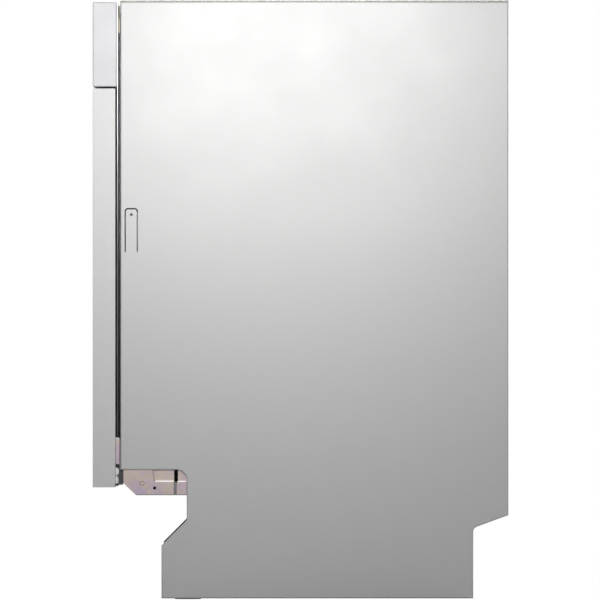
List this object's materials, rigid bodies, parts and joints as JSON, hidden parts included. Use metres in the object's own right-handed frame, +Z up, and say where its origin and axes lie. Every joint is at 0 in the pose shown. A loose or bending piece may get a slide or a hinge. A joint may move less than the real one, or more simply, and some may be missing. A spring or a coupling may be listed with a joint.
{
  "type": "built-in dishwasher",
  "caption": "Built-under dishwasher with drop-down door, sliding racks, spinning spray arms, pumps and levelling feet",
  "frame": {"origin": "on the floor under the middle of the machine", "axes": "+X to the right seen from behind the door's front, +Y towards the back, +Z up; the door faces -Y"},
  "size_m": [0.598, 0.569, 0.82],
  "materials": {
    "side_sheet": "satin",
    "cover_sheet": "satin",
    "back_sheet": "galvanised",
    "door_sheet": "satin",
    "console_plastic": "silver",
    "tub_steel": "satin",
    "zinc": "yellow zinc passivated",
    "bright_steel": "bright",
    "rail_steel": "satin",
    "spring_steel": "oiled",
    "cord_fibre": "braided",
    "seal_rubber": "matt",
    "base_plastic": "moulded",
    "foot_plastic": "moulded",
    "pump_plastic": "moulded",
    "white_plastic": "moulded",
    "arm_plastic": "moulded",
    "grip_plastic": "moulded",
    "window_gloss": "gloss",
    "key_plastic": "satin",
    "dispenser_plastic": "moulded",
    "cap_plastic": "moulded",
    "salt_plastic": "moulded",
    "coated_wire": "nylon coated wire",
    "rack_plastic": "moulded"
  },
  "bodies": {
    "cabinet": {"side_panel_right": "side_sheet", "side_panel_left": "side_sheet", "top_cover": "cover_sheet", "rear_panel": "back_sheet", "base_tray": "base_plastic", "hinge_brackets": "zinc", "hinge_pins": "bright_steel", "hinge_covers": "base_plastic", "worktop_brackets": "zinc", "door_catch": "bright_steel", "tub_wrapper": "tub_steel", "tub_rear_wall": "tub_steel", "tub_floor": "tub_steel", "tub_gasket": "seal_rubber", "sill_seal": "seal_rubber", "upper_rack_rails": "rail_steel", "sump": "base_plastic", "wash_pump": "pump_plastic", "drain_pump": "pump_plastic", "softener_tank": "white_plastic", "spray_feed_duct": "arm_plastic", "filter_plate": "tub_steel", "inlet_valve": "white_plastic", "drain_port": "base_plastic", "mains_inlet": "base_plastic", "door_springs": "spring_steel", "door_cords": "cord_fibre"},
    "door": {"door_skin": "door_sheet", "door_liner": "tub_steel", "console_fascia": "console_plastic", "grip_pocket": "grip_plastic", "display_window": "window_gloss", "latch_housing": "base_plastic", "dispenser_body": "dispenser_plastic", "hinge_arms": "zinc", "corner_guides": "white_plastic"},
    "latch": {"latch_pawl": "bright_steel"},
    "dispenser_door": {"dispenser_lid": "dispenser_plastic"},
    "rinse_aid": {"rinse_aid_cap": "cap_plastic"},
    "key_power": {"button_power": "key_plastic"},
    "key_program": {"button_program": "key_plastic"},
    "key_option": {"button_option": "key_plastic"},
    "key_start": {"button_start": "key_plastic"},
    "pull_outs": {"rail_sliders": "rail_steel"},
    "upper_basket": {"upper_rack": "coated_wire", "upper_arm_conduit": "arm_plastic"},
    "upper_arm": {"upper_spray_arm": "arm_plastic"},
    "shelf": {"cup_shelf": "rack_plastic"},
    "lower_basket": {"lower_rack": "coated_wire", "plate_tines": "coated_wire"},
    "cutlery": {"cutlery_basket": "grip_plastic"},
    "tines": {"folding_tines": "rack_plastic"},
    "wheels_front": {"front_wheels": "rack_plastic"},
    "wheels_rear": {"rear_wheels": "rack_plastic"},
    "lower_arm": {"lower_spray_arm": "arm_plastic"},
    "filter": {"filter_cylinder": "arm_plastic"},
    "salt_lid": {"salt_cap": "salt_plastic"},
    "foot_right": {"foot_front_right": "foot_plastic"},
    "foot_left": {"foot_front_left": "foot_plastic"},
    "foot_back": {"foot_rear": "foot_plastic"}
  },
  "joints": [
    {"name": "door_hinge", "type": "hinge", "parent": "cabinet", "child": "door", "pos_m": [0, -0.2165, 0.159], "axis": [1, 0, 0], "range_deg": [0, 90], "stiffness_Nm_per_rad": 14, "deforming": ["door_springs", "door_cords"]},
    {"name": "latch_release", "type": "hinge", "parent": "door", "child": "latch", "pos_m": [0, -0.2585, 0.8079], "axis": [1, 0, 0], "range_deg": [0, 8], "stiffness_Nm_per_rad": 0.3},
    {"name": "detergent_lid", "type": "slide", "parent": "door", "child": "dispenser_door", "axis": [-1, 0, 0], "range_m": [0, 0.034]},
    {"name": "rinse_aid_turn", "type": "hinge", "parent": "door", "child": "rinse_aid", "pos_m": [0.036, -0.2245, 0.46], "axis": [0, 1, 0], "range_deg": [0, 90]},
    {"name": "press_power", "type": "slide", "parent": "door", "child": "key_power", "axis": [0, 1, 0], "range_m": [0, 0.0015], "stiffness_N_per_m": 400},
    {"name": "press_program", "type": "slide", "parent": "door", "child": "key_program", "axis": [0, 1, 0], "range_m": [0, 0.0015], "stiffness_N_per_m": 400},
    {"name": "press_option", "type": "slide", "parent": "door", "child": "key_option", "axis": [0, 1, 0], "range_m": [0, 0.0015], "stiffness_N_per_m": 400},
    {"name": "press_start", "type": "slide", "parent": "door", "child": "key_start", "axis": [0, 1, 0], "range_m": [0, 0.0015], "stiffness_N_per_m": 400},
    {"name": "rail_extend", "type": "slide", "parent": "cabinet", "child": "pull_outs", "axis": [0, -1, 0], "range_m": [0, 0.222]},
    {"name": "upper_rack_slide", "type": "slide", "parent": "cabinet", "child": "upper_basket", "axis": [0, -1, 0], "range_m": [0, 0.442]},
    {"name": "upper_arm_spin", "type": "hinge", "parent": "upper_basket", "child": "upper_arm", "pos_m": [0, 0.015, 0.502], "axis": [0, 0, 1], "continuous": true},
    {"name": "cup_shelf_fold", "type": "hinge", "parent": "upper_basket", "child": "shelf", "pos_m": [-0.2362, -0.1465, 0.638], "axis": [0, -1, 0], "range_deg": [0, 85]},
    {"name": "lower_rack_slide", "type": "slide", "parent": "cabinet", "child": "lower_basket", "axis": [0, -1, 0], "range_m": [0, 0.143]},
    {"name": "cutlery_lift", "type": "slide", "parent": "lower_basket", "child": "cutlery", "axis": [0, 0, 1], "range_m": [0, 0.12]},
    {"name": "tines_fold", "type": "hinge", "parent": "lower_basket", "child": "tines", "pos_m": [-0.1, -0.015, 0.2118], "axis": [-1, 0, 0], "range_deg": [0, 85]},
    {"name": "front_wheel_spin", "type": "hinge", "parent": "lower_basket", "child": "wheels_front", "pos_m": [0, -0.0915, 0.1752], "axis": [1, 0, 0], "range_deg": [0, 545]},
    {"name": "rear_wheel_spin", "type": "hinge", "parent": "lower_basket", "child": "wheels_rear", "pos_m": [0, 0.1645, 0.1752], "axis": [1, 0, 0], "range_deg": [0, 545]},
    {"name": "lower_arm_spin", "type": "hinge", "parent": "cabinet", "child": "lower_arm", "pos_m": [0, 0.015, 0.175], "axis": [0, 0, 1], "continuous": true},
    {"name": "filter_twist", "type": "hinge", "parent": "cabinet", "child": "filter", "pos_m": [0, -0.0945, 0.1], "axis": [0, 0, 1], "range_deg": [0, 45]},
    {"name": "salt_cap_turn", "type": "hinge", "parent": "cabinet", "child": "salt_lid", "pos_m": [-0.17, 0.1245, 0.146], "axis": [0, 0, 1], "range_deg": [0, 180]},
    {"name": "level_right", "type": "slide", "parent": "cabinet", "child": "foot_right", "axis": [0, 0, -1], "range_m": [0, 0.05]},
    {"name": "level_left", "type": "slide", "parent": "cabinet", "child": "foot_left", "axis": [0, 0, -1], "range_m": [0, 0.05]},
    {"name": "level_back", "type": "slide", "parent": "cabinet", "child": "foot_back", "axis": [0, 0, -1], "range_m": [0, 0.05]}
  ],
  "couplings": [
    {"joint": "rail_extend", "follows": "door_hinge", "m_per_rad": 0.14},
    {"joint": "upper_rack_slide", "follows": "door_hinge", "m_per_rad": 0.28},
    {"joint": "lower_rack_slide", "follows": "door_hinge", "m_per_rad": 0.09},
    {"joint": "front_wheel_spin", "follows": "door_hinge", "ratio": 6},
    {"joint": "rear_wheel_spin", "follows": "door_hinge", "ratio": 6}
  ]
}
